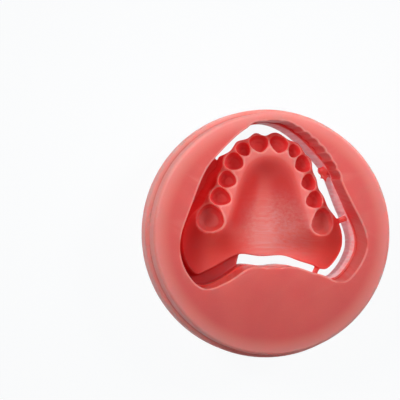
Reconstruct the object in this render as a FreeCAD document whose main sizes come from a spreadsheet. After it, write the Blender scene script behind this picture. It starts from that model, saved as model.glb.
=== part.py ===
import FreeCAD, Part
import Sketcher
import math
import os

from FreeCAD import Vector

# A round denture-base disc with a clamping flange. An upper denture base has been milled out of it
# from both faces and still hangs in its pocket, on two sprues and a web. The disc lies on its back
# face at z = 0, +Z is its axis and points to the tooth side, and +Y points to the front teeth.

SIZES = {
    # blank
    "flange_diameter": 98.5,
    "body_diameter": 95.0,
    "disc_thickness": 30.0,
    "flange_bottom": 10.0,
    "flange_thickness": 10.0,
    "face_chamfer": 0.8,
    "flange_chamfer": 0.6,
    # the denture base is turned clockwise in its pocket, about a point on the disc's Y axis
    "arch_turn": 1.7,
    "arch_pivot": 8.0,
    # sockets: centre to the side of the midline, centre ahead of the disc's axis, size along the
    # arch and size across it
    "central_side": 4.15,
    "central_ahead": 36.0,
    "central_width": 7.8,
    "central_length": 7.2,
    "lateral_side": 10.6,
    "lateral_ahead": 33.4,
    "lateral_width": 5.4,
    "lateral_length": 6.0,
    "canine_side": 14.3,
    "canine_ahead": 28.2,
    "canine_width": 7.2,
    "canine_length": 7.4,
    "first_premolar_side": 16.8,
    "first_premolar_ahead": 20.9,
    "first_premolar_width": 6.8,
    "first_premolar_length": 6.8,
    "second_premolar_side": 19.3,
    "second_premolar_ahead": 14.0,
    "second_premolar_width": 7.0,
    "second_premolar_length": 8.0,
    "molar_side": 23.3,
    "molar_ahead": 5.2,
    "molar_width": 11.2,
    "molar_length": 10.8,
    "socket_depth": 4.6,
    "socket_lean": 25.0,
    "socket_point": 0.22,
    "rim_wall": 0.4,
    "rim_notch": 0.7,
    # ridge under the teeth, and the vault of the palate between its two sides
    "ridge_height": 19.8,
    "ridge_lean": 37.0,
    "crest_wall": 0.8,
    "crest_round": 0.7,
    "palate_lean": 50.0,
    "heel_lean": 24.0,
    "vault_height": 9.0,
    "vault_round": 1.6,
    "palate_thickness": 2.5,
    "groove_height": 11.5,
    "inner_lean": 66.0,
    "tooth_side_step": 3.4,
    "tissue_side_step": 5.0,
    # flange of the denture base that hangs down outside the ridge
    "border_bottom": 4.0,
    "border_widest": 7.5,
    "border_round": 1.0,
    "border_thickness": 2.3,
    "side_flare": 1.7,
    "front_flare": -1.7,
    # heels behind the molars, and the rear edge between them
    "heel_side": 27.0,
    "heel_ahead": -4.0,
    "heel_height": 14.8,
    "heel_reach": 5.8,
    "heel_end_side": 25.4,
    "right_heel_end": -9.4,
    "left_heel_end": -12.6,
    "heel_end_height": 10.8,
    "heel_end_reach": 4.6,
    "rear_side": 9.5,
    "rear_ahead": -8.8,
    "rear_dip": 0.5,
    # pocket around the denture base
    "front_gap": 5.3,
    "lateral_gap": 4.6,
    "corner_gap": 3.5,
    "cheek_gap": 5.2,
    "molar_gap": 3.2,
    "right_heel_gap": 5.2,
    "left_heel_gap": 4.2,
    "rear_gap": 4.2,
    "waist_height": 15.0,
    "cheek_step": 1.1,
    "back_step": 0.3,
    "arc_tolerance": 0.06,
    "heel_step": 0.9,
    "lobe_radius": 8.0,
    "lobe_reach": 8.2,
    "scallop_radius": 3.2,
    "scallop_pitch": 4.3,
    "scallop_depth": 0.75,
    # what still holds the denture base
    "sprue_height": 12.0,
    "sprue_root": 1.5,
    "sprue_tip": 0.95,
    "sprue_shift": 2.5,
    "sprue_grip": 1.2,
    "rear_sprue_height": 9.5,
    "rear_sprue_radius": 1.1,
    "rear_sprue_bearing": -117.0,
    "stub_root": 1.9,
    "stub_tip": 1.2,
    "stub_length": 3.4,
    "stub_bearing": 7.5,
    "web_bottom": 3.2,
    "web_thickness": 4.8,
    "web_grip": 0.8,
    "web_centre_side": -5.0,
    "web_front_side": -18.5,
    "web_front_ahead": 29.7,
    "web_rear_side": -9.6,
    "web_rear_ahead": -10.5,
}

SETTLINGS = 2
CUBIC = 3
TEETH = ("central", "lateral", "canine", "first_premolar", "second_premolar", "molar")

doc = FreeCAD.newDocument("milling_disc")
sheet = doc.addObject("Spreadsheet::Sheet", "Sizes")
for row, (alias, value) in enumerate(SIZES.items(), start=1):
    sheet.set(f"A{row}", alias)
    sheet.set(f"B{row}", str(value))
    sheet.setAlias(f"B{row}", alias)
doc.recompute()


def size(alias):
    """One driving size of the sheet."""
    return float(sheet.get(alias))


def slope(alias):
    """Rise over run of an angle of the sheet."""
    return math.tan(math.radians(size(alias)))


# Blank: a stepped profile turned about the disc's axis, with its edges rounded.

def origin_plane(body, role):
    """The plane of a body's own origin that plays this role."""
    return next(item for item in body.Origin.OriginFeatures if item.Role == role)


def turned_profile(body, name, corners, bounds):
    """A closed sketch of upright and level lines on the XZ plane, each size bound to the sheet."""
    sketch = body.newObject("Sketcher::SketchObject", name)
    sketch.AttachmentSupport = [(origin_plane(body, "XZ_Plane"), "")]
    sketch.MapMode = "FlatFace"
    count = len(corners)
    for index, (x, y) in enumerate(corners):
        x_next, y_next = corners[(index + 1) % count]
        sketch.addGeometry(Part.LineSegment(Vector(x, y, 0), Vector(x_next, y_next, 0)))
        level = "Horizontal" if y == y_next else "Vertical"
        sketch.addConstraint(Sketcher.Constraint(level, index))
    for index in range(count):
        following = (index + 1) % count
        sketch.addConstraint(Sketcher.Constraint("Coincident", index, 2, following, 1))
    sketch.addConstraint(Sketcher.Constraint("Coincident", 0, 1, -1, 1))
    for label, kind, corner, expression in bounds:
        x, y = corners[corner]
        value = x if kind == "DistanceX" else y
        place = sketch.addConstraint(Sketcher.Constraint(kind, -1, 1, corner, 1, value))
        sketch.renameConstraint(place, label)
        sketch.setExpression(f"Constraints.{label}", expression)
    return sketch


def chamfer_edges(body, base, name, alias, circles):
    """A chamfer on the circular edges of base at the given (radius, z) places."""
    doc.recompute()
    edges = []
    for index, edge in enumerate(base.Shape.Edges, start=1):
        if not isinstance(edge.Curve, Part.Circle):
            continue
        here = (edge.Curve.Radius, edge.Curve.Center.z)
        if any(math.dist(here, circle) < 0.01 for circle in circles):
            edges.append(f"Edge{index}")
    chamfer = body.newObject("PartDesign::Chamfer", name)
    chamfer.Base = (base, edges)
    chamfer.setExpression("Size", f"Sizes.{alias}")
    return chamfer


def make_blank():
    """The stepped disc before it is milled."""
    body_radius = size("body_diameter") / 2
    flange_radius = size("flange_diameter") / 2
    low = size("flange_bottom")
    high = low + size("flange_thickness")
    top = size("disc_thickness")
    corners = [
        (0, 0), (body_radius, 0), (body_radius, low), (flange_radius, low),
        (flange_radius, high), (body_radius, high), (body_radius, top), (0, top),
    ]
    bounds = [
        ("body_radius", "DistanceX", 1, "Sizes.body_diameter / 2"),
        ("flange_radius", "DistanceX", 3, "Sizes.flange_diameter / 2"),
        ("upper_radius", "DistanceX", 5, "Sizes.body_diameter / 2"),
        ("flange_low", "DistanceY", 3, "Sizes.flange_bottom"),
        ("flange_high", "DistanceY", 4, "Sizes.flange_bottom + Sizes.flange_thickness"),
        ("top_face", "DistanceY", 7, "Sizes.disc_thickness"),
    ]
    body = doc.addObject("PartDesign::Body", "Blank")
    sketch = turned_profile(body, "BlankProfile", corners, bounds)
    turned = body.newObject("PartDesign::Revolution", "BlankTurned")
    turned.Profile = sketch
    turned.ReferenceAxis = (sketch, ["V_Axis"])
    turned.Angle = 360
    faces = chamfer_edges(body, turned, "FaceChamfers", "face_chamfer",
                          [(body_radius, 0), (body_radius, top)])
    rims = chamfer_edges(body, faces, "FlangeChamfers", "flange_chamfer",
                         [(flange_radius, low), (flange_radius, high)])
    body.Tip = rims
    return body


# Arch: tooth places and the stations of the outlines, in the arch's own frame. It is symmetric but
# for its heels, and the finished denture base is turned into its place in the disc.

def tooth_place(tooth, hand):
    """Centre of a socket; hand is 1 on the right and -1 on the left."""
    return Vector(hand * size(f"{tooth}_side"), size(f"{tooth}_ahead"), 0)


def heel_place(hand):
    """Top of the heel behind the molar."""
    return Vector(hand * size("heel_side"), size("heel_ahead"), 0)


def heel_end_place(hand):
    """Where the ridge of the heel ends."""
    ahead = size("right_heel_end") if hand > 0 else size("left_heel_end")
    return Vector(hand * size("heel_end_side"), ahead, 0)


def arch_turn():
    """The placement that turns the arch clockwise in the disc."""
    pivot = Vector(0, size("arch_pivot"), 0)
    turn = FreeCAD.Rotation(Vector(0, 0, 1), -size("arch_turn"))
    return FreeCAD.Placement(Vector(0, 0, 0), turn, pivot)


def outward(before, after, hand):
    """Unit normal that points out of the arch, of the chord from before to after."""
    chord = after - before
    chord.normalize()
    return Vector(-chord.y, chord.x, 0) * hand


def tooth_normal(index, hand):
    """The way out of the arch at a tooth."""
    here = tooth_place(TEETH[0], -hand) if index == 0 else tooth_place(TEETH[index - 1], hand)
    last = index == len(TEETH) - 1
    there = heel_place(hand) if last else tooth_place(TEETH[index + 1], hand)
    return outward(here, there, hand)


def tooth_flare(index):
    """How far the border stands out beyond the rim of a tooth's socket."""
    share = min(1.0, max(0, index - 1) / 2)
    return size("front_flare") + share * (size("side_flare") - size("front_flare"))


TOOTH_GAPS = ("front_gap", "lateral_gap", "corner_gap", "cheek_gap", "cheek_gap", "molar_gap")


def tooth_stations(hand):
    """Stations beside the teeth: rim point, border point, and the name of the gap to the pocket.

    A notch between two teeth has no gap, because the pocket passes it by.
    """
    stations = []
    for index, tooth in enumerate(TEETH):
        place = tooth_place(tooth, hand)
        normal = tooth_normal(index, hand)
        rim = place + normal * (size(f"{tooth}_length") / 2 + size("rim_wall"))
        stations.append((rim, rim + normal * tooth_flare(index), TOOTH_GAPS[index]))
        if index == len(TEETH) - 1:
            break
        following = TEETH[index + 1]
        middle = (place + tooth_place(following, hand)) / 2
        normal = outward(place, tooth_place(following, hand), hand)
        reach = (size(f"{tooth}_length") + size(f"{following}_length")) / 4 + size("rim_wall")
        border = middle + normal * (reach + tooth_flare(index) - size("rim_notch") / 2)
        stations.append((middle + normal * (reach - size("rim_notch")), border, None))
    return stations


def front_notch():
    """The station between the two central teeth."""
    reach = size("central_ahead") + size("central_length") / 2 + size("rim_wall")
    rim = Vector(0, reach - size("rim_notch"), 0)
    return rim, rim + Vector(0, size("front_flare"), 0), None


def heel_stations(hand):
    """Stations round the heel, from its cheek side to its end."""
    gap = "right_heel_gap" if hand > 0 else "left_heel_gap"
    top = (heel_place(hand), size("heel_reach"), 0)
    end = (heel_end_place(hand), size("heel_end_reach"), -25)
    last = (heel_end_place(hand), size("heel_end_reach"), -80)
    stations = []
    for centre, reach, bearing in (top, end, last):
        angle = math.radians(bearing)
        border = centre + Vector(hand * math.cos(angle), math.sin(angle), 0) * reach
        stations.append((border, border, gap))
    return stations


def rear_stations(hand):
    """Stations along the rear edge, from the heel to the midline."""
    reach = size("heel_end_reach")
    heel_edge = heel_end_place(hand) + Vector(-0.55 * hand * reach, -0.75 * reach, 0)
    corner = Vector(hand * size("rear_side"), size("rear_ahead"), 0)
    middle = (heel_edge + corner) / 2
    return [(place, place, "rear_gap") for place in (heel_edge, middle, corner)]


def all_stations():
    """Every station once, clockwise from the front midline."""
    right = tooth_stations(1) + heel_stations(1) + rear_stations(1)
    left = tooth_stations(-1) + heel_stations(-1) + rear_stations(-1)
    dip = Vector(0, size("rear_ahead") - size("rear_dip"), 0)
    return [front_notch()] + right + [(dip, dip, "rear_gap")] + left[::-1]


def outward_normals(points):
    """Outward unit normals of a clockwise closed polygon."""
    count = len(points)
    return [outward(points[index - 1], points[(index + 1) % count], 1) for index in range(count)]


def smooth_curve(points, height):
    """A smooth closed curve through the points, at one height."""
    curve = Part.BSplineCurve()
    curve.interpolate(Points=[Vector(p.x, p.y, height) for p in points], PeriodicFlag=True)
    return curve


def closed_curve(points, height):
    """A smooth closed wire through the points, at one height."""
    return Part.Wire(smooth_curve(points, height).toShape())


def closed_arcs(points, height):
    """A closed wire of arcs that run on smoothly, close to the smooth curve through the points."""
    arcs = smooth_curve(points, height).toBiArcs(size("arc_tolerance"))
    return Part.Wire([arc.toShape() for arc in arcs])


def keep_shape(name, shape):
    """A document object for a shape worked out from the sheet."""
    item = doc.addObject("Part::Feature", name)
    item.Shape = shape
    return item


def make_loft(name, wires, ruled):
    """A solid loft through closed wires, each kept as an object of its own."""
    sections = [keep_shape(f"{name}Outline{n}", wire) for n, wire in enumerate(wires, start=1)]
    loft = doc.addObject("Part::Loft", name)
    loft.Sections = sections
    loft.Solid = True
    loft.Ruled = ruled
    return loft


# Pocket: a front and a back half that meet at a waist, with a step between them that follows from
# milling the disc from both faces, and with lobes and scallops round the front teeth.

def front_extra(border, gap):
    """How far the front half's wall stands in or out of the stated gap."""
    inward = gap == "cheek_gap" and border.x > 0
    return -size("cheek_step") if inward else 0


def back_extra(border, gap):
    """How far the back half's wall stands in of the stated gap."""
    return -size("heel_step") if "heel" in gap else -size("back_step")


def pocket_outline(extra):
    """Points of the outline of one half of the pocket."""
    stations = [(border, gap) for rim, border, gap in all_stations() if gap]
    normals = outward_normals([border for border, gap in stations])
    return [
        border + normal * (size(gap) + extra(border, gap))
        for (border, gap), normal in zip(stations, normals)
    ]


def make_pocket_half(name, extra, bottom, height):
    """One upright half of the pocket; height is an expression on the sheet."""
    outline = keep_shape(f"{name}Outline", closed_arcs(pocket_outline(extra), bottom))
    half = doc.addObject("Part::Extrusion", name)
    half.Base = outline
    half.DirMode = "Custom"
    half.Dir = Vector(0, 0, 1)
    half.setExpression("LengthFwd", height)
    half.Solid = True
    return half


def make_pocket_halves():
    """The front and the back half of the pocket, each past its own face."""
    above = "Sizes.disc_thickness + 1 - Sizes.waist_height"
    front = make_pocket_half("PocketFront", front_extra, size("waist_height"), above)
    back = make_pocket_half("PocketBack", back_extra, -1, "Sizes.waist_height + 1")
    return [front, back]


def upright_cutter(name, centre, alias):
    """A cylinder from the waist to above the front face."""
    cutter = doc.addObject("Part::Cylinder", name)
    cutter.setExpression("Radius", f"Sizes.{alias}")
    cutter.setExpression("Height", "Sizes.disc_thickness + 1 - Sizes.waist_height")
    cutter.setExpression("Placement.Base.z", "Sizes.waist_height")
    cutter.Placement.Base = Vector(centre.x, centre.y, size("waist_height"))
    return cutter


def make_lobes():
    """The two round lobes before the central teeth."""
    lobes = []
    for name, hand in (("RightLobe", 1), ("LeftLobe", -1)):
        out = size("lobe_reach") - size("lobe_radius")
        centre = tooth_place("central", hand) + Vector(0, out, 0)
        lobes.append(upright_cutter(name, centre, "lobe_radius"))
    return lobes


def make_scallops():
    """A row of cutter scallops in the right wall, from the lateral to the first premolar."""
    curve = smooth_curve(pocket_outline(front_extra), 0)
    start = curve.parameter(tooth_place("central", 1) + Vector(5, 7, 0))
    end = curve.parameter(tooth_place("first_premolar", 1) + Vector(9, 0, 0))
    length = curve.length(start, end)
    count = max(2, round(length / size("scallop_pitch")))
    inset = size("scallop_radius") - size("scallop_depth")
    cutters = []
    for index in range(count):
        place = curve.parameterAtDistance((index + 0.5) * length / count, start)
        tangent = curve.tangent(place)[0]
        centre = curve.value(place) + Vector(tangent.y, -tangent.x, 0) * inset
        cutters.append(upright_cutter(f"Scallop{index + 1}", centre, "scallop_radius"))
    return cutters


# Denture base: the space inside its flanks, below its tooth side and above its tissue side.

def arch_nodes(hand):
    """Points of the ridge with what its section needs.

    Each is its place, then its height, half length, slope of the tooth seats, slope of the palate
    side and distance to the border.
    """
    seat = slope("ridge_lean")
    fall = slope("palate_lean")
    heel_fall = slope("heel_lean")
    nodes = []
    for index, tooth in enumerate(TEETH):
        half = size(f"{tooth}_length") / 2
        reach = half + size("rim_wall") + tooth_flare(index)
        nodes.append((tooth_place(tooth, hand), size("ridge_height"), half, seat, fall, reach))
    reach = size("heel_reach")
    half = reach - size("side_flare")
    nodes.append((heel_place(hand), size("heel_height"), half, seat / 2, heel_fall, reach))
    reach = size("heel_end_reach")
    half = reach - size("side_flare")
    nodes.append((heel_end_place(hand), size("heel_end_height"), half, seat / 9, heel_fall, reach))
    return nodes


def blend(first, second, share):
    """Values between two nodes of the ridge."""
    return tuple(a + (b - a) * share for a, b in zip(first, second))


def nearest_on_ridge(point, nodes):
    """Signed distance out of the ridge's line, and the section's values at the nearest place."""
    best = None
    for first, second in zip(nodes, nodes[1:]):
        chord = second[0] - first[0]
        share = (point - first[0]).dot(chord) / chord.dot(chord)
        share = min(1.0, max(0.0, share))
        place, *values = blend(first, second, share)
        gap = point - place
        distance = gap.Length
        side = 1 if gap.dot(Vector(-chord.y, chord.x, 0)) > 0 else -1
        if best is None or distance < abs(best[0]):
            best = (side * distance, values)
    return best


def smooth_min(a, b, rounding):
    """The smaller of two heights, with the corner between them rounded."""
    return (a + b - math.hypot(a - b, rounding)) / 2


def smooth_max(a, b, rounding):
    """The larger of two heights, with the corner between them rounded."""
    return (a + b + math.hypot(a - b, rounding)) / 2


def palate_side_height(out, values):
    """Height of the slope from the crest behind the teeth down to the palate."""
    height, half, seat, fall, reach = values
    crest = half + size("crest_wall")
    return height + seat * crest - fall * (-out - crest)


def tooth_side_height(out, values):
    """Height of the tooth side at a distance out of the ridge's line."""
    height, half, seat, fall, reach = values
    ridge = smooth_min(height - seat * out, palate_side_height(out, values), 2 * size("crest_round"))
    return smooth_max(ridge, size("vault_height"), 2 * size("vault_round"))


def tissue_side_height(out, values):
    """Height of the tissue side at a distance out of the ridge's line."""
    height, half, seat, fall, reach = values
    below = size("palate_thickness")
    palate = palate_side_height(out, values) - below * math.hypot(1, fall)
    inner = reach - size("border_thickness")
    flank = size("border_bottom") + slope("inner_lean") * (inner - out)
    top = min(size("groove_height"), height - below)
    groove = smooth_min(smooth_min(top, palate, below), flank, below)
    if out > 0:
        return groove
    return smooth_max(groove, size("vault_height") - below, 2 * size("vault_round"))


def settle(heights):
    """Each height of a grid averaged with its neighbours, the rim of the grid left as it is."""
    settled = [line[:] for line in heights]
    for i in range(1, len(heights) - 1):
        for j in range(1, len(heights[0]) - 1):
            beside = heights[i - 1][j] + heights[i + 1][j] + heights[i][j - 1] + heights[i][j + 1]
            settled[i][j] = heights[i][j] / 2 + beside / 8
    return settled


def evenly(start, end, step):
    """Places from start to end, about a step apart."""
    count = math.ceil((end - start) / step)
    return [start + (end - start) * index / count for index in range(count + 1)]


def even_knots(count):
    """Knots of a cubic curve with this many poles, and how often each counts."""
    spans = count - CUBIC
    return list(range(spans + 1)), [CUBIC + 1] + [1] * (spans - 1) + [CUBIC + 1]


def pole_surface(poles):
    """The cubic surface that a grid of poles pulls into shape."""
    across, across_counts = even_knots(len(poles))
    along, along_counts = even_knots(len(poles[0]))
    surface = Part.BSplineSurface()
    surface.buildFromPolesMultsKnots(
        poles, across_counts, along_counts, across, along, False, False, CUBIC, CUBIC)
    return surface.toShape()


def height_surface(height_of, step):
    """A smooth surface over the denture base, from a height law across the ridge."""
    nodes = arch_nodes(-1)[::-1] + arch_nodes(1)
    half_width = size("heel_side") + 2.8 * size("heel_reach")
    front = size("central_ahead") + size("central_length") + size("front_gap")
    rear = size("left_heel_end") - 2.2 * size("heel_reach")
    across = evenly(-half_width, half_width, step)
    along = evenly(rear, front, step)
    heights = [[height_of(*nearest_on_ridge(Vector(x, y, 0), nodes)) for y in along] for x in across]
    for _ in range(SETTLINGS):
        heights = settle(heights)
    return pole_surface([
        [Vector(x, y, height) for y, height in zip(along, line)] for x, line in zip(across, heights)
    ])


def space_below(name, face):
    """The space under a height surface."""
    surface = keep_shape(f"{name}Surface", face)
    space = doc.addObject("Part::Extrusion", name)
    space.Base = surface
    space.DirMode = "Custom"
    space.Dir = Vector(0, 0, -1)
    space.setExpression("LengthFwd", "Sizes.disc_thickness * 2")
    space.Solid = True
    return space


def make_flanks():
    """The denture base's outer flanks, from its border up past its rims."""
    stations = all_stations()
    rims = [rim for rim, border, gap in stations]
    borders = [border for rim, border, gap in stations]
    normals = outward_normals(borders)
    tucked = [b - n * size("border_round") for b, n in zip(borders, normals)]
    over = [r - (b - r) * 0.6 for r, b in zip(rims, borders)]
    bottom = size("border_bottom")
    widest = size("border_widest")
    rim_height = size("ridge_height") - 3
    top = size("disc_thickness") - 3
    return make_loft("Flanks", [
        closed_curve(tucked, bottom),
        closed_curve(borders, widest),
        closed_curve(rims, rim_height),
        closed_curve(over, top),
    ], True)


def socket_outline(width, length, scale, height):
    """A rounded outline, wider on its outer side, in the socket's own frame."""
    points = []
    for step in range(8):
        angle = math.tau * step / 8
        wide = 1 + size("socket_point") * math.sin(angle)
        points.append(Vector(scale * width / 2 * wide * math.cos(angle),
                             scale * length / 2 * math.sin(angle), 0))
    return closed_curve(points, height)


def make_socket(index, hand):
    """One cup for a tooth, leaning out of the arch."""
    tooth = TEETH[index]
    width = size(f"{tooth}_width")
    length = size(f"{tooth}_length") / math.cos(math.radians(size("socket_lean")))
    depth = size("socket_depth")
    steps = ((0.5, -depth), (0.84, -0.75 * depth), (0.98, -0.2 * depth), (1.06, 1.4 * depth))
    side = "Right" if hand > 0 else "Left"
    name = side + tooth.title().replace("_", "") + "Socket"
    wires = [socket_outline(width, length, scale, height) for scale, height in steps]
    cup = make_loft(name, wires, True)
    normal = tooth_normal(index, hand)
    turn = FreeCAD.Rotation(Vector(0, 0, 1), math.degrees(math.atan2(normal.y, normal.x)) - 90)
    lean = FreeCAD.Rotation(Vector(1, 0, 0), -size("socket_lean"))
    place = tooth_place(tooth, hand)
    place.z = size("ridge_height")
    cup.Placement = FreeCAD.Placement(place, turn * lean)
    return cup


def join(name, items):
    """One solid of several."""
    fused = doc.addObject("Part::MultiFuse", name)
    fused.Shapes = items
    return fused


def cut_away(name, base, tool):
    """Base less tool."""
    cut = doc.addObject("Part::Cut", name)
    cut.Base = base
    cut.Tool = tool
    return cut


def make_denture_base():
    """The denture base with its twelve sockets."""
    body = doc.addObject("Part::Common", "BaseBody")
    body.Base = make_flanks()
    tooth_side = height_surface(tooth_side_height, size("tooth_side_step"))
    tissue_side = height_surface(tissue_side_height, size("tissue_side_step"))
    body.Tool = space_below("ToothSide", tooth_side)
    shell = cut_away("BaseShell", body, space_below("TissueSide", tissue_side))
    cups = [make_socket(index, hand) for hand in (1, -1) for index in range(len(TEETH))]
    base = cut_away("DentureBase", shell, join("Sockets", cups))
    base.Placement = arch_turn()
    return base



# What still holds the denture base: two sprues and a web, and the stub of a sprue that was cut.

def wall_distance(start, way):
    """Distance from a point below the waist to the pocket's wall, along a level way."""
    level = Vector(start.x, start.y, 0)
    ray = Part.LineSegment(level, level + way * size("body_diameter")).toShape()
    crossings = closed_curve(pocket_outline(back_extra), 0).section(ray).Vertexes
    return min(level.distanceToPoint(vertex.Point) for vertex in crossings)


def peg(name, start, way, near, far, near_alias, far_alias):
    """A round tapered peg along a level line, from near to far along it."""
    cone = doc.addObject("Part::Cone", name)
    cone.setExpression("Radius1", f"Sizes.{near_alias}")
    cone.setExpression("Radius2", f"Sizes.{far_alias}")
    cone.Height = far - near
    cone.Placement = FreeCAD.Placement(start + way * near, FreeCAD.Rotation(Vector(0, 0, 1), way))
    return cone


def bearing(alias):
    """A level unit vector at an angle of the sheet, from +X towards +Y."""
    angle = math.radians(size(alias))
    return Vector(math.cos(angle), math.sin(angle), 0)


def make_cheek_sprue():
    """The round sprue beside the right molar."""
    last = len(TEETH) - 1
    turn = arch_turn()
    out = tooth_normal(last, 1)
    way = turn.Rotation.multVec(out)
    place = tooth_place("molar", 1) + Vector(out.y, -out.x, 0) * size("sprue_shift")
    start = turn.multVec(place) + Vector(0, 0, size("sprue_height"))
    flank = size("molar_length") / 2 + size("rim_wall") + tooth_flare(last) / 2
    grip = size("sprue_grip")
    near = flank - grip
    far = wall_distance(start, way) + grip
    return peg("CheekSprue", start, way, near, far, "sprue_tip", "sprue_root")


def make_rear_sprue():
    """The thin sprue behind the right heel."""
    way = bearing("rear_sprue_bearing")
    start = arch_turn().multVec(heel_end_place(1)) + Vector(0, 0, size("rear_sprue_height"))
    grip = size("sprue_grip")
    near = size("heel_end_reach") - grip
    far = wall_distance(start, way) + grip
    return peg("RearSprue", start, way, near, far, "rear_sprue_radius", "rear_sprue_radius")


def make_stub():
    """What is left on the wall of a sprue that was cut, beside the right canine."""
    way = bearing("stub_bearing")
    middle = (tooth_place("canine", 1) + tooth_place("first_premolar", 1)) / 2
    start = arch_turn().multVec(middle) + Vector(0, 0, size("sprue_height"))
    wall = wall_distance(start, way)
    near = wall - size("stub_length")
    return peg("Stub", start, way, near, wall + size("sprue_grip"), "stub_tip", "stub_root")


def web_sector():
    """The left part of the disc's plane, between the web's two straight ends."""
    far = size("flange_diameter")
    centre = Vector(size("web_centre_side"), size("arch_pivot"), 0)
    ends = []
    for end in ("front", "rear"):
        way = Vector(size(f"web_{end}_side"), size(f"web_{end}_ahead"), 0) - centre
        way.normalize()
        ends.append(centre + way * far)
    corners = [centre, ends[0], Vector(-far, far, 0), Vector(-far, -far, 0), ends[1], centre]
    return Part.Face(Part.makePolygon(corners))


def upright_block(name, wire):
    """A solid of a closed wire, as high as the disc."""
    block = Part.Face(wire).extrude(Vector(0, 0, size("disc_thickness")))
    return keep_shape(name, block)


def make_web():
    """The web left in the gap along the left side, with straight ends."""
    sector = web_sector()
    sector.translate(Vector(0, 0, size("web_bottom")))
    slab = keep_shape("WebSlab", sector.extrude(Vector(0, 0, size("web_thickness"))))
    grip = size("web_grip")
    borders = [border for rim, border, gap in all_stations()]
    normals = outward_normals(borders)
    core = upright_block("WebCore", closed_curve([b - n * grip for b, n in zip(borders, normals)], 0))
    core.Placement = arch_turn()
    wall = closed_curve(pocket_outline(lambda border, gap: back_extra(border, gap) + grip), 0)
    strip = doc.addObject("Part::Common", "WebStrip")
    strip.Base = slab
    strip.Tool = upright_block("WebField", wall)
    return cut_away("Web", strip, core)


def check(items):
    """Stops the build if an object failed or a sub-part isn't one valid solid."""
    for item in doc.Objects:
        if "Invalid" in item.State or "Error" in item.State:
            raise ValueError(f"{item.Name} failed: {item.State}")
    for item in items:
        shape = item.Shape
        if shape.isNull() or not shape.isValid() or len(shape.Solids) != 1:
            raise ValueError(f"{item.Label} isn't one valid solid")


blank = make_blank()
pocket = join("Pocket", make_pocket_halves() + make_lobes() + make_scallops())
ring = cut_away("MilledRing", blank, pocket)
held = [make_cheek_sprue(), make_rear_sprue(), make_stub(), make_web()]
disc = join("MilledDisc", [ring, make_denture_base()] + held)
disc.Label = "milled_disc"
disc.Placement = FreeCAD.Placement()
doc.recompute()
check([disc])
os.makedirs("parts", exist_ok=True)
disc.Shape.exportStep(f"parts/{disc.Label}.step")
print(disc.Label, round(disc.Shape.Volume, 1), "mm3")
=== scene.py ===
# %% [markdown]
# # A denture base in its milling disc
#
# A dental mill holds a round disc of pink resin by its flange. It has cut the base of an upper
# denture out of this one, from both faces, and the base still hangs in its pocket. The disc lies on
# its back face, with the tooth side up.
#
# The solid comes from the CAD model as a fixed frame. This lesson gives it the soft edges, the
# cutter traces and the faintly translucent resin of the real disc, then the light and the camera.

# %% Load the frame
import math

import bmesh
import bpy
import numpy as np
from mathutils import Matrix, Vector
from mathutils.bvhtree import BVHTree


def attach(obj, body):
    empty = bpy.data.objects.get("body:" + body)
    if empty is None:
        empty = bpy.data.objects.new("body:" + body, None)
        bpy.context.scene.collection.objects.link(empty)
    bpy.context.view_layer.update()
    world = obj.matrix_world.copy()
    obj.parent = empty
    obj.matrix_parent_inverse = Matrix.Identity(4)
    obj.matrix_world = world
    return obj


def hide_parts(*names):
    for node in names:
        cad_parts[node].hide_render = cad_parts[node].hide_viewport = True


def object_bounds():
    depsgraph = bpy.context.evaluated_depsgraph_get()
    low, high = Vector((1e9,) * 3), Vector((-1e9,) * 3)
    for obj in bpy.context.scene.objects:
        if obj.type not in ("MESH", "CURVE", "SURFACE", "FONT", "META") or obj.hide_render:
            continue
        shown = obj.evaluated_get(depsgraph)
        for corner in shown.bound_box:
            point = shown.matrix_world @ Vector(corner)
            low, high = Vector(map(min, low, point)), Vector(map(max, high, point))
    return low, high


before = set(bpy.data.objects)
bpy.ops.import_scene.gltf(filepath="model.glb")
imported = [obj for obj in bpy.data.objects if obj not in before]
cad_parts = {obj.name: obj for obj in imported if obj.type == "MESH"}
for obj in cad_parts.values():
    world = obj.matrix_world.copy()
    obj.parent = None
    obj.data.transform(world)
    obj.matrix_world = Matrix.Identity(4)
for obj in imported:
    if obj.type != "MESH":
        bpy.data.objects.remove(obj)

MM = 0.001
cad_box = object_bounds()
print("CAD box in mm:", [[round(value / MM, 2) for value in corner] for corner in cad_box])

# %% [markdown]
# ## Camera
#
# The photograph looks at the disc almost face on, from a little to its left. Here the disc lies
# down, so the same view is one from above. The turn, the distance and the focal length come from the
# outlines of the flange and of the body, which are true circles on the real disc. The lens is given
# in pixels of a picture 400 pixels wide, because that is what the circles were measured in.

# %% Camera at the photograph's angle
PICTURE_WIDTH = 400
FOCAL_PIXELS = 1847.3
SENSOR_WIDTH = 36.0
VIEW_TURN = math.radians(10.831)
VIEW_TIP = math.radians(-0.2264)
VIEW_OFFSET = Vector((26.844, -13.276, 732.844)) * MM
FLANGE_TOP = 20 * MM

look = Matrix.Rotation(VIEW_TIP, 3, "X") @ Matrix.Rotation(VIEW_TURN, 3, "Y")
eye = Vector((-VIEW_OFFSET.x, -VIEW_OFFSET.y, VIEW_OFFSET.z))
camera_data = bpy.data.cameras.new("photo_camera")
camera_data.sensor_width = SENSOR_WIDTH
camera_data.lens = FOCAL_PIXELS * SENSOR_WIDTH / PICTURE_WIDTH
camera = bpy.data.objects.new("photo_camera", camera_data)
bpy.context.collection.objects.link(camera)
place = look.transposed().to_4x4()
place.translation = look.transposed() @ eye + Vector((0, 0, FLANGE_TOP))
camera.matrix_world = place
bpy.context.scene.camera = camera
print("camera at", [round(value, 3) for value in camera.matrix_world.translation])

# %% [markdown]
# ## Torn end of a sprue
#
# One of the sprues that held the denture base was snapped off, and its end on the wall is torn into
# a few spikes. Sculpting them would be slow for something four millimetres wide. A star-shaped slab
# of points and faces is enough, because it is melted into the disc with the next step, which rounds
# its spikes unevenly.

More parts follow.
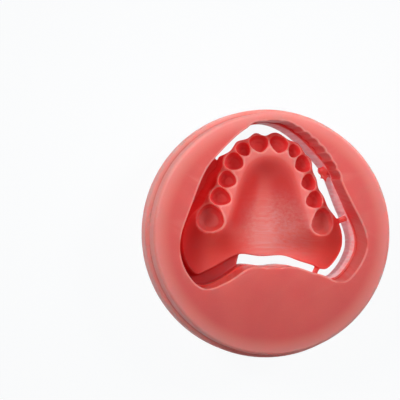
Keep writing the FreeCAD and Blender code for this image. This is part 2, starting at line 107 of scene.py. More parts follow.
# %% Ragged end of the cut sprue
STUB_PLACE = Vector((25.1, 22.9, 12.0)) * MM
STUB_SPIKES = (2.3, 1.2, 1.9, 1.0, 2.2, 1.1, 1.8, 0.9, 2.4, 1.2)
STUB_THICKNESS = 2.0 * MM


def ragged_end(place):
    """Points and faces of a flat spiky lump, as is left where a sprue was snapped off."""
    count = len(STUB_SPIKES)
    points = []
    for level in (-0.5, 0.5):
        for index, reach in enumerate(STUB_SPIKES):
            angle = math.tau * index / count
            way = Vector((math.cos(angle), math.sin(angle), 0))
            points.append(place + way * reach * MM + Vector((0, 0, level * STUB_THICKNESS)))
    sides = [(index, (index + 1) % count, count + (index + 1) % count, count + index)
             for index in range(count)]
    return points, [tuple(range(count))[::-1], tuple(range(count, 2 * count))] + sides


def add_to(mesh, points, faces):
    """Adds loose points and faces to a mesh."""
    shape = bmesh.new()
    shape.from_mesh(mesh)
    corners = [shape.verts.new(point) for point in points]
    for face in faces:
        shape.faces.new([corners[index] for index in face])
    shape.to_mesh(mesh)
    shape.free()


print("ragged end with", len(STUB_SPIKES) // 2, "spikes")

# %% [markdown]
# ## Disc
#
# A cutter leaves no knife edges: every rim of the real disc is broken by a few tenths of a
# millimetre, and that thin round catches the light as a pale line. One way to get it is a bevel, but
# the rims of the sockets are too tangled for one. So the solid is remeshed in small voxels and
# smoothed a little, which rounds every edge alike, and then thinned out where it is flat. Normals
# weighted by area keep the flat faces flat in the light.

# %% Soft copy of the solid
VOXEL = 0.34 * MM
SOFTENING_ROUNDS = 5
KEPT_SHARE = 0.29


def add_modifier(piece, kind, **settings):
    """A modifier with its settings."""
    modifier = piece.modifiers.new(kind.title(), kind)
    for name, value in settings.items():
        setattr(modifier, name, value)


def apply_modifiers(piece):
    """Bakes the modifiers of a piece into its mesh."""
    bpy.context.view_layer.update()
    evaluated = piece.evaluated_get(bpy.context.evaluated_depsgraph_get())
    mesh = bpy.data.meshes.new_from_object(evaluated)
    piece.modifiers.clear()
    piece.data = mesh


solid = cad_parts["milled_disc"]
disc = bpy.data.objects.new("denture_disc", solid.data.copy())
bpy.context.collection.objects.link(disc)
add_to(disc.data, *ragged_end(STUB_PLACE))
add_modifier(disc, "REMESH", mode="VOXEL", voxel_size=VOXEL, use_smooth_shade=True)
add_modifier(disc, "SMOOTH", factor=0.5, iterations=SOFTENING_ROUNDS)
add_modifier(disc, "DECIMATE", ratio=KEPT_SHARE)
apply_modifiers(disc)
add_modifier(disc, "WEIGHTED_NORMAL", weight=50)
apply_modifiers(disc)
print("disc:", len(disc.data.polygons), "faces")

# %% [markdown]
# ## What each point knows about its place
#
# A shader can't see a shape. It can read numbers that are stored on the mesh, one for each point, so
# the next cells work out three of them: how sharply the surface bends, how enclosed it is, and
# whether it belongs to the wall that gets painted light. Numpy works on all points at once and
# keeps this fast.

# %% Values at the points of a mesh
def read_points(data, name, width, kind=np.float64):
    """One property of all points or edges as an array."""
    values = np.empty(len(data) * width, kind)
    data.foreach_get(name, values)
    return values.reshape(-1, width)


def store(mesh, name, values):
    """Writes one number for each point."""
    mesh.attributes.new(name, "FLOAT", "POINT").data.foreach_set("value", values)


def beside(ends, values):
    """For each point the mean of the values at the points it shares an edge with."""
    count = np.maximum(np.bincount(ends.ravel(), minlength=len(values)), 1)
    total = np.bincount(ends[:, 0], values[ends[:, 1]], len(values))
    total += np.bincount(ends[:, 1], values[ends[:, 0]], len(values))
    return total / count


def spread(ends, values, rounds):
    """Values averaged with those beside them, a few times over."""
    for _ in range(rounds):
        values = (values + beside(ends, values)) / 2
    return values


points = read_points(disc.data.vertices, "co", 3)
normals = read_points(disc.data.vertices, "normal", 3)
ends = read_points(disc.data.edges, "vertices", 2, np.int32)
print("points:", len(points), "edges:", len(ends))

# %% [markdown]
# The resin gets a painted highlight on its edges, for the light that goes through the thin round,
# and painted shade in its creases. How far a point stands out of the middle of its neighbours, over
# the square of their distance, is the curvature. It is averaged a few times, which makes the painted
# highlight as wide as the pale line on the real rims, and stored with 1 for a sharp ridge and -1 for
# a sharp crease.

# %% Curvature as an attribute
EDGE_CURVATURE = 900.0
EDGE_ROUNDS = 6


def curvature():
    """How much the mesh bends at each point, per metre: above 0 on ridges, below it in creases."""
    middle = np.stack([beside(ends, column) for column in points.T], axis=1)
    out = ((points - middle) * normals).sum(axis=1)
    squares = ((points[ends[:, 0]] - points[ends[:, 1]]) ** 2).sum(axis=1)
    count = np.maximum(np.bincount(ends.ravel(), minlength=len(points)), 1)
    mean_square = sum(np.bincount(ends[:, side], squares, len(points)) for side in (0, 1)) / count
    return 2 * out / mean_square


bend = spread(ends, curvature(), EDGE_ROUNDS) / EDGE_CURVATURE
store(disc.data, "bend", np.clip(bend, -1, 1))
print("share of points on an edge:", round(float((bend > 0.5).mean()), 3))

# %% [markdown]
# In the sockets and in the narrow gap, light bounces from wall to wall and through the resin, and
# each time it comes back redder. A path tracer follows only some of that, so these places get
# painted shade and a painted glow instead. Each point learns how much of what lies before it is
# blocked within a few millimetres: a handful of rays in a fixed fan round its normal are sent to the
# mesh itself.

# %% How enclosed each point is
PIT_REACH = 8 * MM
RAY_LIFT = 0.05 * MM
STEEP_RAYS = [(0.55, step / 5) for step in range(5)]
FLAT_RAYS = [(1.05, (step + 0.5) / 6) for step in range(6)]
FAN = [(0.0, 0.0)] + STEEP_RAYS + FLAT_RAYS
INSIDE_RADIUS = 44 * MM
INSIDE_BOTTOM = 0.1 * MM
INSIDE_TOP = 29.9 * MM
STUB_REACH = 2.8 * MM
STUB_PIT = 0.3


def fan_directions(normals):
    """Unit vectors in a fan round each normal, one array for each ray of the fan."""
    helper = np.where(np.abs(normals[:, 2:3]) < 0.8, (0.0, 0.0, 1.0), (1.0, 0.0, 0.0))
    side = np.cross(normals, helper)
    side /= np.linalg.norm(side, axis=1, keepdims=True)
    other = np.cross(normals, side)
    fan = []
    for tilt, turn in FAN:
        around = math.cos(turn * math.tau) * side + math.sin(turn * math.tau) * other
        fan.append(math.cos(tilt) * normals + math.sin(tilt) * around)
    return fan


def enclosed_share(tree, wanted):
    """Share of the fan that is blocked, for the wanted points; 0 for all others."""
    starts = (points + normals * RAY_LIFT)[wanted].tolist()
    blocked = np.zeros(len(starts))
    for directions in fan_directions(normals[wanted]):
        for index, (start, way) in enumerate(zip(starts, directions.tolist())):
            if tree.ray_cast(start, way, PIT_REACH)[0] is not None:
                blocked[index] += 1
    share = np.zeros(len(points))
    share[wanted] = blocked / len(FAN)
    return share


tree = BVHTree.FromPolygons(points.tolist(), [tuple(face.vertices) for face in disc.data.polygons])
radius = np.hypot(points[:, 0], points[:, 1])
height = points[:, 2]
inside = (radius < INSIDE_RADIUS) & (height < INSIDE_TOP) & (height > INSIDE_BOTTOM)
pits = spread(ends, enclosed_share(tree, inside), 2)
on_stub = np.linalg.norm(points - np.array(STUB_PLACE), axis=1) < STUB_REACH
pits[on_stub] = STUB_PIT
store(disc.data, "pit", pits)
print("points inside:", int(inside.sum()), "mean share blocked:", round(float(pits[inside].mean()), 2))

# %% [markdown]
# The lower half of the pocket's wall on its right side gets painted light: below the ledge it is
# paler than the rest, with upright streaks, and a little rougher. A point belongs to it when it
# faces the middle of the disc and when behind it there is nothing but solid resin out to the rim. A
# ray from the point outwards finds that out, and the torn end of the sprue is left clear.

# %% Painted light on the lower right wall
POCKET_CENTRE = np.array((0.0, 5.0)) * MM
WALL_LIGHT_STEEP = 0.45
WALL_LIGHT_FACING = 0.3
BODY_EDGE = 45.5 * MM
WALL_LIGHT_TOP = 15.2 * MM
WALL_LIGHT_FADE = 1.5 * MM
WALL_LIGHT_LEFT_END = 2 * MM
WALL_LIGHT_SIDE_FADE = 10 * MM
WALL_LIGHT_LIFT = 0.2 * MM


def painted_wall_light_share(tree):
    """1 on the lower right wall of the pocket, fading out to the left and at the ledge."""
    out = points[:, :2] - POCKET_CENTRE
    out /= np.linalg.norm(out, axis=1, keepdims=True)
    facing = -(normals[:, :2] * out).sum(axis=1)
    wanted = inside & (np.abs(normals[:, 2]) < WALL_LIGHT_STEEP) & (facing > WALL_LIGHT_FACING)
    share = np.zeros(len(points))
    for index in np.flatnonzero(wanted):
        way = (out[index, 0], out[index, 1], 0.0)
        start = points[index] + np.array(way) * WALL_LIGHT_LIFT
        hit = tree.ray_cast(start.tolist(), way)[0]
        if hit is not None and math.hypot(hit.x, hit.y) > BODY_EDGE:
            right = (points[index, 0] - WALL_LIGHT_LEFT_END) / WALL_LIGHT_SIDE_FADE
            low = (WALL_LIGHT_TOP - points[index, 2]) / WALL_LIGHT_FADE
            share[index] = np.clip(right, 0, 1) * np.clip(low, 0, 1)
    share[on_stub] = 0
    return share


painted_wall_light = spread(ends, painted_wall_light_share(tree), 2)
store(disc.data, "painted_wall_light", painted_wall_light)
print("points with painted wall light:", int((painted_wall_light > 0.5).sum()))

# %% [markdown]
# ## What the surfaces share
#
# The disc has two finishes: the turned outside of the blank, and the milled pocket and denture
# base. Both are the same resin, so what they have in common is built once, as node groups with named
# sockets. Each material places them with values of its own. A few helpers keep the node code short:
# each makes one node, sets or links its inputs, and gives back what the next node needs.

# %% Node helpers
def new_group(name, inputs, outputs):
    """An empty node group, its input node and its output node."""
    group = bpy.data.node_groups.new(name, "ShaderNodeTree")
    for label, kind, value in inputs:
        socket = group.interface.new_socket(label, in_out="INPUT", socket_type=kind)
        if value is not None:
            socket.default_value = value
    for label, kind in outputs:
        group.interface.new_socket(label, in_out="OUTPUT", socket_type=kind)
    return group, group.nodes.new("NodeGroupInput"), group.nodes.new("NodeGroupOutput")


def add_node(tree, kind, values=None, **settings):
    """A node with its settings, its input values and its links."""
    node = tree.nodes.new(kind)
    for name, value in settings.items():
        setattr(node, name, value)
    for name, value in (values or {}).items():
        if isinstance(value, bpy.types.NodeSocket):
            tree.links.new(value, node.inputs[name])
        else:
            node.inputs[name].default_value = value
    return node


def colour_mix(tree, share, first, second):
    """The colour output of a mix of two colours."""
    node = add_node(tree, "ShaderNodeMix", data_type="RGBA")
    for name, value in (("Factor", share), ("A", first), ("B", second)):
        kind = "VALUE" if name == "Factor" else "RGBA"
        socket = next(item for item in node.inputs if item.name == name and item.type == kind)
        if isinstance(value, bpy.types.NodeSocket):
            tree.links.new(value, socket)
        else:
            socket.default_value = value
    return next(item for item in node.outputs if item.type == "RGBA")


def arithmetic(tree, operation, *values):
    """The output of a math node."""
    node = add_node(tree, "ShaderNodeMath", operation=operation)
    for socket, value in zip(node.inputs, values):
        if isinstance(value, bpy.types.NodeSocket):
            tree.links.new(value, socket)
        else:
            socket.default_value = value
    return node.outputs[0]


def straight_ramp(tree, value, start, end, first=0.0, last=1.0, shape="LINEAR"):
    """A value turned into a share that goes from first, at start, to last, at end."""
    return add_node(tree, "ShaderNodeMapRange", {
        "Value": value, "From Min": start, "From Max": end, "To Min": first, "To Max": last},
        interpolation_type=shape).outputs["Result"]


def smooth_ramp(tree, value, start, end, first=0.0, last=1.0):
    """The same with soft ends."""
    return straight_ramp(tree, value, start, end, first, last, "SMOOTHSTEP")


def stored(tree, name):
    """A number that was stored on the mesh."""
    return add_node(tree, "ShaderNodeAttribute", attribute_name=name).outputs["Fac"]


def own_place(tree):
    """The place on the object, in metres."""
    return add_node(tree, "ShaderNodeTexCoord").outputs["Object"]


def axes_of(tree, vector):
    """The X, Y and Z of a vector, by name."""
    return add_node(tree, "ShaderNodeSeparateXYZ", {"Vector": vector}).outputs


def vector_maths(tree, operation, first, second=None):
    """A vector math node with its one or two vectors."""
    values = {0: first} if second is None else {0: first, 1: second}
    return add_node(tree, "ShaderNodeVectorMath", values, operation=operation)


def scaled(tree, vector, amount):
    """A vector or colour times a number."""
    node = add_node(tree, "ShaderNodeVectorMath", {0: vector, "Scale": amount}, operation="SCALE")
    return node.outputs["Vector"]


def noise(tree, vector, scale, detail, roughness=0.5):
    """A soft noise between 0 and 1."""
    return add_node(tree, "ShaderNodeTexNoise", {"Vector": vector, "Scale": scale, "Detail": detail,
                                                 "Roughness": roughness}).outputs["Fac"]


print("attributes to read:", [item.name for item in disc.data.attributes if item.name in
                              ("bend", "pit", "painted_wall_light")])

# %% [markdown]
# Denture resin is a clear acrylic with pink pigment. The pigment isn't quite even, so slow clouds
# some ten millimetres wide go through it, and it holds fine short specks. Two noises do that, both
# faint: on a moulded blank they are just enough to keep a large face from looking painted.

# %% Group: clouds and specks of pigment
CLOUD_SCALE = 75.0
SPECK_SCALE = 2600.0


def make_pigment():
    """Colour of the resin with its clouds and specks."""
    group, given, result = new_group("pigment", [
        ("Colour", "NodeSocketColor", (0.7, 0.15, 0.14, 1)),
        ("Cloud colour", "NodeSocketColor", (0.8, 0.2, 0.17, 1)),
        ("Clouds", "NodeSocketFloat", 0.5),
        ("Specks", "NodeSocketFloat", 0.1),
    ], [("Colour", "NodeSocketColor")])
    place = own_place(group)
    cloud = straight_ramp(group, noise(group, place, CLOUD_SCALE, 3.0, 0.45), 0.36, 0.66)
    share = arithmetic(group, "MULTIPLY", cloud, given.outputs["Clouds"])
    clouded = colour_mix(group, share, given.outputs["Colour"], given.outputs["Cloud colour"])
    light = straight_ramp(group, noise(group, place, SPECK_SCALE, 2.0, 0.6), 0.3, 0.7, 0.72, 1.28)
    specked = colour_mix(group, given.outputs["Specks"], clouded, scaled(group, clouded, light))
    group.links.new(specked, result.inputs["Colour"])
    return group


pigment = make_pigment()
print("group", pigment.name, "with", len(pigment.nodes), "nodes")

# %% [markdown]
# A cutter crosses the resin in even steps and leaves a shallow groove at each. From arm's length
# the grooves show as fine silky lines. A wave texture draws them, a noise that is long along the
# lines breaks them up, and both go out as a height for a bump and as a value that shifts the
# roughness.

# %% Group: traces of the tool
def make_tool_traces():
    """Height and gloss of the fine lines that a tool leaves."""
    group, given, result = new_group("tool_traces", [
        ("Direction", "NodeSocketVector", (0.0, 1.0, 0.0)),
        ("Lines per metre", "NodeSocketFloat", 2000.0),
        ("Waviness", "NodeSocketFloat", 1.0),
        ("Strength", "NodeSocketFloat", 0.5),
    ], [("Height", "NodeSocketFloat"), ("Gloss", "NodeSocketFloat")])
    place = own_place(group)
    across = vector_maths(group, "DOT_PRODUCT", place, given.outputs["Direction"]).outputs["Value"]
    turns = arithmetic(group, "MULTIPLY", across, given.outputs["Lines per metre"])
    drift = noise(group, place, 90.0, 2.0)
    shift = arithmetic(group, "MULTIPLY", drift, given.outputs["Waviness"])
    phase = arithmetic(group, "ADD", turns, shift)
    wave = arithmetic(group, "SINE", arithmetic(group, "MULTIPLY", phase, math.tau))
    line = add_node(group, "ShaderNodeTexNoise", {"W": arithmetic(group, "MULTIPLY", phase, 0.37),
                                                  "Scale": 1.0, "Detail": 3.0},
                    noise_dimensions="1D").outputs["Fac"]
    breaks = noise(group, place, 260.0, 2.0)
    grooves = arithmetic(group, "MULTIPLY_ADD", wave, 0.3, line)
    height = arithmetic(group, "MULTIPLY", arithmetic(group, "MULTIPLY", grooves, breaks),
                        given.outputs["Strength"])
    gloss = arithmetic(group, "MULTIPLY", arithmetic(group, "SUBTRACT", line, 0.5),
                       given.outputs["Strength"])
    group.links.new(height, result.inputs["Height"])
    group.links.new(gloss, result.inputs["Gloss"])
    return group


tool_traces = make_tool_traces()
print("group", tool_traces.name, "with", len(tool_traces.nodes), "nodes")

# %% [markdown]
# The third group reads what was stored on the mesh. Ridges get a painted highlight, a paler colour,
# and creases and pits painted shade, a deeper one; creases on the wall with painted light are left
# out. Only the rims of the sockets and of the pocket get the full highlight, and the lower edges
# hardly, so the height has a say too.

# %% Group: painted highlight on edges, painted shade in pits
RIMS_FROM = 15 * MM
RIMS_FULL = 19 * MM
LOW_EDGE_SHARE = 0.15


def make_edge_highlight_and_pit_shade():
    """Colour with a painted highlight on its ridges and painted shade in its creases and pits."""
    group, given, result = new_group("edge_highlight_and_pit_shade", [
        ("Colour", "NodeSocketColor", (0.7, 0.15, 0.14, 1)),
        ("Highlight colour", "NodeSocketColor", (0.9, 0.4, 0.36, 1)),
        ("Shade colour", "NodeSocketColor", (0.5, 0.05, 0.05, 1)),
        ("Edges", "NodeSocketFloat", 0.5),
        ("Shade amount", "NodeSocketFloat", 0.5),
    ], [("Colour", "NodeSocketColor")])

    def share(name, start, end, amount):
        ramp = smooth_ramp(group, stored(group, name), start, end)
        return arithmetic(group, "MULTIPLY", ramp, given.outputs[amount])

    height = axes_of(group, own_place(group))["Z"]
    high = straight_ramp(group, height, RIMS_FROM, RIMS_FULL, LOW_EDGE_SHARE)
    ridge = arithmetic(group, "MULTIPLY", share("bend", 0.08, 0.5, "Edges"), high)
    clear = arithmetic(group, "SUBTRACT", 1.0, stored(group, "painted_wall_light"))
    crease = arithmetic(group, "MULTIPLY", share("bend", -0.15, -0.9, "Shade amount"), clear)
    enclosed = arithmetic(group, "MAXIMUM", share("pit", 0.25, 0.75, "Shade amount"), crease)
    deep = colour_mix(group, enclosed, given.outputs["Colour"], given.outputs["Shade colour"])
    pale = colour_mix(group, ridge, deep, given.outputs["Highlight colour"])
    group.links.new(pale, result.inputs["Colour"])
    return group


edge_highlight_and_pit_shade = make_edge_highlight_and_pit_shade()
print("group", edge_highlight_and_pit_shade.name, "with", len(edge_highlight_and_pit_shade.nodes), "nodes")

# %% [markdown]
# The sockets get a deep red painted glow and the wall with painted light a rose one, where the light
# has the shortest way. Both stand in for light that has gone through the resin: scattering alone
# gives too little of it in a few bounces, so a faint glow goes to the emission, a stored share times
# a colour. It fades towards the back, where the pocket has a floor and less light comes through.

# %% Group: painted glow for the light that comes through
GLOW_BACK = -14 * MM
GLOW_FULL = 2 * MM


def make_glow():
    """Colour of the painted glow in enclosed places and on the wall with painted light."""
    group, given, result = new_group("glow", [
        ("Pit glow", "NodeSocketColor", (0.2, 0.0, 0.0, 1)),
        ("Wall light glow", "NodeSocketColor", (0.2, 0.1, 0.1, 1)),
    ], [("Colour", "NodeSocketColor")])
    ahead = axes_of(group, own_place(group))["Y"]
    front = straight_ramp(group, ahead, GLOW_BACK, GLOW_FULL, 0.05)
    painted_wall_light = stored(group, "painted_wall_light")
    clear = arithmetic(group, "MULTIPLY", arithmetic(group, "SUBTRACT", 1.0, painted_wall_light), front)
    enclosed = smooth_ramp(group, stored(group, "pit"), 0.06, 0.5)
    red = scaled(group, given.outputs["Pit glow"], arithmetic(group, "MULTIPLY", enclosed, clear))
    rose = scaled(group, given.outputs["Wall light glow"], painted_wall_light)
    both = vector_maths(group, "ADD", red, rose)
    group.links.new(both.outputs["Vector"], result.inputs["Colour"])
    return group


glow = make_glow()
print("group", glow.name, "with", len(glow.nodes), "nodes")

# %% [markdown]
# ## Resin
#
# Light enters the acrylic, scatters for a few millimetres and comes out redder. Subsurface
# scattering in the Principled shader does exactly that, and it also makes the thin walls between the
# sockets glow. The coat stays off, because the disc is milled and not polished, and the specular
# level is a little low for the same reason.

# %% Resin with its groups
SCATTER_RADIUS = (1.0, 0.13, 0.1)
SCATTER_SCALE = 4.0 * MM
ACRYLIC_IOR = 1.49
MILLED_SPECULAR = 0.3
GLOSS_SHIFT = 0.35
BUMP_STRENGTH = 0.35
GROOVE_DEPTH = 0.04 * MM


def place_group(tree, group, values):
    """A node of a group with its values and links."""
    node = add_node(tree, "ShaderNodeGroup", node_tree=group)
    for name, value in values.items():
        if isinstance(value, bpy.types.NodeSocket):
            tree.links.new(value, node.inputs[name])
        else:
            node.inputs[name].default_value = value
    return node


def resin(name, roughness, tint, traces, edges, through, change):
    """A Principled material of the resin.

    change(tree, colour, rough) may change the colour and the roughness before the edges are painted.
    """
    material = bpy.data.materials.new(name)
    material.use_nodes = True
    tree = material.node_tree
    shader = tree.nodes["Principled BSDF"]
    trace = place_group(tree, tool_traces, traces)
    rough = arithmetic(tree, "MULTIPLY_ADD", trace.outputs["Gloss"], GLOSS_SHIFT, roughness)
    tinted = place_group(tree, pigment, tint).outputs["Colour"]
    base, rough = change(tree, tinted, rough)
    # Painted highlight on the ridges and painted shade in the creases and pits.
    edged = place_group(tree, edge_highlight_and_pit_shade, {"Colour": base, **edges}).outputs["Colour"]
    bump = add_node(tree, "ShaderNodeBump", {"Height": trace.outputs["Height"],
                                             "Strength": BUMP_STRENGTH, "Distance": GROOVE_DEPTH})
    tree.links.new(edged, shader.inputs["Base Color"])
    tree.links.new(rough, shader.inputs["Roughness"])
    tree.links.new(bump.outputs["Normal"], shader.inputs["Normal"])
    # The emission carries the painted glow of the sockets and of the wall with painted light.
    tree.links.new(place_group(tree, glow, through).outputs["Colour"], shader.inputs["Emission Color"])
    shader.inputs["Emission Strength"].default_value = 1.0
    shader.inputs["IOR"].default_value = ACRYLIC_IOR
    shader.inputs["Specular IOR Level"].default_value = MILLED_SPECULAR
    shader.inputs["Subsurface Weight"].default_value = 1.0
    shader.inputs["Subsurface Radius"].default_value = SCATTER_RADIUS
    shader.inputs["Subsurface Scale"].default_value = SCATTER_SCALE
    return material


print("red, green and blue scatter over mm:", [value * SCATTER_SCALE / MM for value in SCATTER_RADIUS])

# %% [markdown]
# The turned blank gets painted light towards its rim, a shade paler, for the light that
# also enters from the side. That is a slow change with the distance from the axis.

# %% Turned outside of the blank
RIM_LIGHT_COLOUR = (0.90, 0.33, 0.30, 1)
PALE_FROM = 40 * MM
PALE_FULL = 47.5 * MM


def paint_rim_light(tree, colour, rough):
    """Painted light: paler towards the rim of the disc."""
    level = vector_maths(tree, "MULTIPLY", own_place(tree), (1, 1, 0)).outputs["Vector"]
    from_axis = vector_maths(tree, "LENGTH", level).outputs["Value"]
    share = smooth_ramp(tree, from_axis, PALE_FROM, PALE_FULL, 0.0, 0.8)
    return colour_mix(tree, share, colour, RIM_LIGHT_COLOUR), rough


# The turned faces get the painted edge highlight and pit shade too, and a faint painted pit glow.
turned_resin = resin(
    "turned_resin", 0.5,
    {"Colour": (0.75, 0.105, 0.095, 1), "Cloud colour": (0.79, 0.135, 0.118, 1),
     "Clouds": 0.5, "Specks": 0.12},
    {"Direction": (0.0, 1.0, 0.0), "Lines per metre": 1500.0, "Waviness": 0.6, "Strength": 0.35},
    {"Highlight colour": (0.88, 0.38, 0.35, 1), "Shade colour": (0.6, 0.04, 0.04, 1),
     "Edges": 0.6, "Shade amount": 0.5},
    {"Pit glow": (0.08, 0.0, 0.0, 1), "Wall light glow": (0, 0, 0, 1)},
    paint_rim_light)
print("material:", turned_resin.name)

# %% [markdown]
# The milled inside gets painted light and shade in three ways. The first: the crest round the
# sockets, where it faces up, gets a painted highlight, the slopes of the vault and the left flank
# get painted shade, and the narrow trough behind on the left a dark painted shadow. Slope, place and
# the stored share say where.

# %% Painted highlight, shade and shadow on the milled inside
CREST_HIGHLIGHT_COLOUR = (0.8, 0.26, 0.24, 1)
SLOPE_SHADE_COLOUR = (0.68, 0.035, 0.035, 1)
TROUGH_SHADOW_COLOUR = (0.3, 0.012, 0.018, 1)


def paint_light_and_shade(tree, colour):
    """Painted: light on the crest, shade on slopes and left flank, shadow in the trough behind."""
    axes = axes_of(tree, own_place(tree))
    upward = axes_of(tree, add_node(tree, "ShaderNodeNewGeometry").outputs["Normal"])["Z"]
    slope = arithmetic(tree, "MULTIPLY", smooth_ramp(tree, upward, 0.95, 0.7, 0.0, 0.75),
                       smooth_ramp(tree, axes["Y"], 0.0, 6 * MM))
    flank = smooth_ramp(tree, axes["X"], -22 * MM, -30 * MM, 0.0, 0.95)
    crest = arithmetic(tree, "MULTIPLY", smooth_ramp(tree, upward, 0.9, 0.99, 0.0, 0.5),
                       smooth_ramp(tree, axes["Z"], 17 * MM, 21 * MM))
    crested = colour_mix(tree, crest, colour, CREST_HIGHLIGHT_COLOUR)
    red = colour_mix(tree, arithmetic(tree, "MAXIMUM", slope, flank), crested, SLOPE_SHADE_COLOUR)
    behind = arithmetic(tree, "MULTIPLY", smooth_ramp(tree, stored(tree, "pit"), 0.15, 0.5, 0.0, 0.85),
                        smooth_ramp(tree, axes["Y"], -6 * MM, -11 * MM))
    trough = arithmetic(tree, "MULTIPLY", behind, smooth_ramp(tree, axes["X"], 10 * MM, -5 * MM))
    return colour_mix(tree, trough, red, TROUGH_SHADOW_COLOUR)


print("colours from pale to dark:", CREST_HIGHLIGHT_COLOUR[0], SLOPE_SHADE_COLOUR[0], TROUGH_SHADOW_COLOUR[0])

# %% [markdown]
# The second is a painted sheen, a pale patch in the middle of the palate. Its lines run from side
# to side, so the noise that draws them is stretched that way. The third is the painted light on the
# lower right wall, which is paler and rougher still. Its streaks are upright, so the noise hardly
# changes with height.

# %% Painted sheen on the palate and painted light on the wall
SHEEN_COLOUR = (0.74, 0.38, 0.36, 1)
SHEEN_PLACE = Vector((6, 0, 12)) * MM
SHEEN_HEART = 4 * MM
SHEEN_REACH = 22 * MM
WALL_LIGHT_COLOUR = (0.95, 0.68, 0.66, 1)
ROUGHER_BY = 0.45


def paint_palate_sheen(tree, colour):
    """A painted sheen: a pale patch in the middle of the palate, with lines from side to side."""
    place = own_place(tree)
    away = vector_maths(tree, "DISTANCE", place, tuple(SHEEN_PLACE)).outputs["Value"]
    patch = smooth_ramp(tree, away, SHEEN_HEART, SHEEN_REACH, 1.0, 0.0)
    stretched = vector_maths(tree, "MULTIPLY", place, (0.06, 1, 1)).outputs["Vector"]
    line = straight_ramp(tree, noise(tree, stretched, 900.0, 3.0, 0.65), 0.3, 0.7, 0.3, 0.85)
    return colour_mix(tree, arithmetic(tree, "MULTIPLY", patch, line), colour, SHEEN_COLOUR)


def paint_wall_light(tree, colour, rough):
    """Painted light in upright streaks on the lower right wall, rougher too, as the pits are."""
    upright = vector_maths(tree, "MULTIPLY", own_place(tree), (1, 1, 0.12)).outputs["Vector"]
    streak = straight_ramp(tree, noise(tree, upright, 420.0, 4.0, 0.6), 0.34, 0.6, 0.35)
    painted_wall_light = stored(tree, "painted_wall_light")
    either = arithmetic(tree, "MAXIMUM", painted_wall_light, stored(tree, "pit"))
    rougher = arithmetic(tree, "MULTIPLY_ADD", either, ROUGHER_BY, rough)
    return colour_mix(tree, arithmetic(tree, "MULTIPLY", painted_wall_light, streak), colour, WALL_LIGHT_COLOUR), rougher


def milled_changes(tree, colour, rough):
    """Painted light and shade, sheen on the palate and light on the wall, one over the other."""
    return paint_wall_light(tree, paint_palate_sheen(tree, paint_light_and_shade(tree, colour)), rough)


# The milled inside gets a stronger painted edge highlight, pit shade and glow, and a rose glow on the
# lit wall.
milled_resin = resin(
    "milled_resin", 0.42,
    {"Colour": (0.75, 0.10, 0.085, 1), "Cloud colour": (0.79, 0.13, 0.11, 1),
     "Clouds": 0.5, "Specks": 0.1},
    {"Direction": (0.0, 1.0, 0.12), "Lines per metre": 2300.0, "Waviness": 2.0, "Strength": 0.7},
    {"Highlight colour": (0.90, 0.34, 0.30, 1), "Shade colour": (0.62, 0.018, 0.02, 1),
     "Edges": 0.75, "Shade amount": 0.9},
    {"Pit glow": (0.13, 0.006, 0.006, 1), "Wall light glow": (0.22, 0.15, 0.165, 1)},
    milled_changes)
print("material:", milled_resin.name)

# %% [markdown]
# Which finish a face gets follows from where it lies. The top, the bottom and the rim of the blank
# were turned, and everything inside was milled.

# %% Finish of each face
BODY_RADIUS = 46.4 * MM
FACE_BAND = 0.12 * MM

disc.data.materials.clear()
disc.data.materials.append(turned_resin)
disc.data.materials.append(milled_resin)
bottom = cad_box[0][2]
top = cad_box[1][2]
for face in disc.data.polygons:
    x, y, z = face.center
    outside = math.hypot(x, y) > BODY_RADIUS
    on_face = z > top - FACE_BAND or z < bottom + FACE_BAND
    face.material_index = 0 if outside or on_face else 1
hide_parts("milled_disc")
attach(disc, "root")
print("milled faces:", sum(face.material_index for face in disc.data.polygons))

# %% [markdown]
# ## Floor and light
#
# The real picture has a white ground that shines through the gaps round the denture base. Under the
# disc a floor would be dark, so the camera and the reflections see it mostly at a strength of 1, and
# only a share of it takes the shadow. Light Path tells the camera's rays from those that light the
# disc, so the white ground adds no light.

# %% White floor that keeps its shadow
FLOOR_SIZE = 4.0
FLOOR_WHITE = 0.95
FLOOR_DROP = 0.05 * MM


def seen_directly(tree):
    """1 for rays from the camera, from a reflection or through glass."""
    path = add_node(tree, "ShaderNodeLightPath")
    either = arithmetic(tree, "MAXIMUM", path.outputs["Is Camera Ray"], path.outputs["Is Glossy Ray"])
    return arithmetic(tree, "MAXIMUM", either, path.outputs["Is Transmission Ray"])


def make_floor():
    """A large level sheet under the disc."""
    half = FLOOR_SIZE / 2
    corners = [(-half, -half, 0), (half, -half, 0), (half, half, 0), (-half, half, 0)]
    mesh = bpy.data.meshes.new("floor")
    mesh.from_pydata(corners, [], [(0, 1, 2, 3)])
    floor = bpy.data.objects.new("floor", mesh)
    floor.location.z = bottom - FLOOR_DROP
    bpy.context.collection.objects.link(floor)
    material = bpy.data.materials.new("white_floor")
    material.use_nodes = True
    tree = material.node_tree
    tree.nodes.clear()
    matt = add_node(tree, "ShaderNodeBsdfDiffuse", {"Color": (0.86, 0.86, 0.87, 1)})
    white = add_node(tree, "ShaderNodeEmission", {"Color": (0.985, 0.993, 1.0, 1), "Strength": 1.0})
    share = arithmetic(tree, "MULTIPLY", seen_directly(tree), FLOOR_WHITE)
    mix = add_node(tree, "ShaderNodeMixShader", {"Fac": share})
    tree.links.new(matt.outputs[0], mix.inputs[1])
    tree.links.new(white.outputs[0], mix.inputs[2])
    output = add_node(tree, "ShaderNodeOutputMaterial")
    tree.links.new(mix.outputs[0], output.inputs["Surface"])
    mesh.materials.append(material)
    return floor


make_floor()
print("floor", FLOOR_SIZE, "m wide")

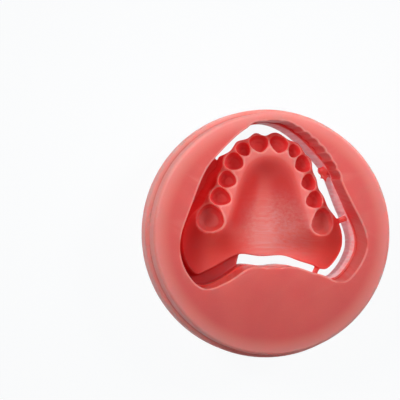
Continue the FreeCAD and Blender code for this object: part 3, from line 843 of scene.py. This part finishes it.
# %% [markdown]
# The sky is as white as the floor for the camera, and only a weak even light for the disc. A strong
# one would fill the sockets and flatten everything.

# %% World
WORLD_LIGHT = 0.13


def make_world():
    """An even pale sky that the camera sees as white."""
    world = bpy.data.worlds.new("studio")
    bpy.context.scene.world = world
    world.use_nodes = True
    tree = world.node_tree
    background = tree.nodes["Background"]
    background.inputs["Color"].default_value = (1, 1, 1, 1)
    strength = add_node(tree, "ShaderNodeMapRange", {"Value": seen_directly(tree),
                                                     "To Min": WORLD_LIGHT, "To Max": 1.0})
    tree.links.new(strength.outputs["Result"], background.inputs["Strength"])


make_world()
print("world light", WORLD_LIGHT)

# %% [markdown]
# Two softboxes stand on both sides, above the front teeth. The real face is bright at the front and
# falls off smoothly towards the back, which a wide lamp can't do. So the spread of both is narrow,
# as with a grid on a softbox, and they are aimed at the front half. A weak one near the floor keeps
# the back of the disc from going dark.

# %% Lamps
def add_softbox(name, place, aim, size, power, spread):
    """A rectangular lamp at a place, turned towards its aim, with its light kept within a spread."""
    data = bpy.data.lights.new(name, "AREA")
    data.shape = "RECTANGLE"
    data.size, data.size_y = size
    data.energy = power
    data.spread = math.radians(spread)
    lamp = bpy.data.objects.new(name, data)
    lamp.location = place
    lamp.rotation_euler = (Vector(aim) - Vector(place)).to_track_quat("-Z", "Y").to_euler()
    lamp.visible_camera = False
    bpy.context.collection.objects.link(lamp)


add_softbox("left_softbox", (-0.22, 0.16, 0.26), (-0.022, 0.038, 0.03), (0.16, 0.16), 0.06, 36)
add_softbox("right_softbox", (0.22, 0.16, 0.26), (0.022, 0.038, 0.03), (0.16, 0.16), 0.06, 36)
add_softbox("front_fill", (0.0, -0.5, 0.12), (0.0, 0.0, 0.015), (0.4, 0.16), 0.08, 120)
print("lamps:", [lamp.name for lamp in bpy.data.lights])

# %% [markdown]
# ## Close
#
# Colours are shown without a film look. The dressed disc has to stay inside the solid's box.

# %% Close
bpy.context.scene.view_settings.view_transform = "Standard"
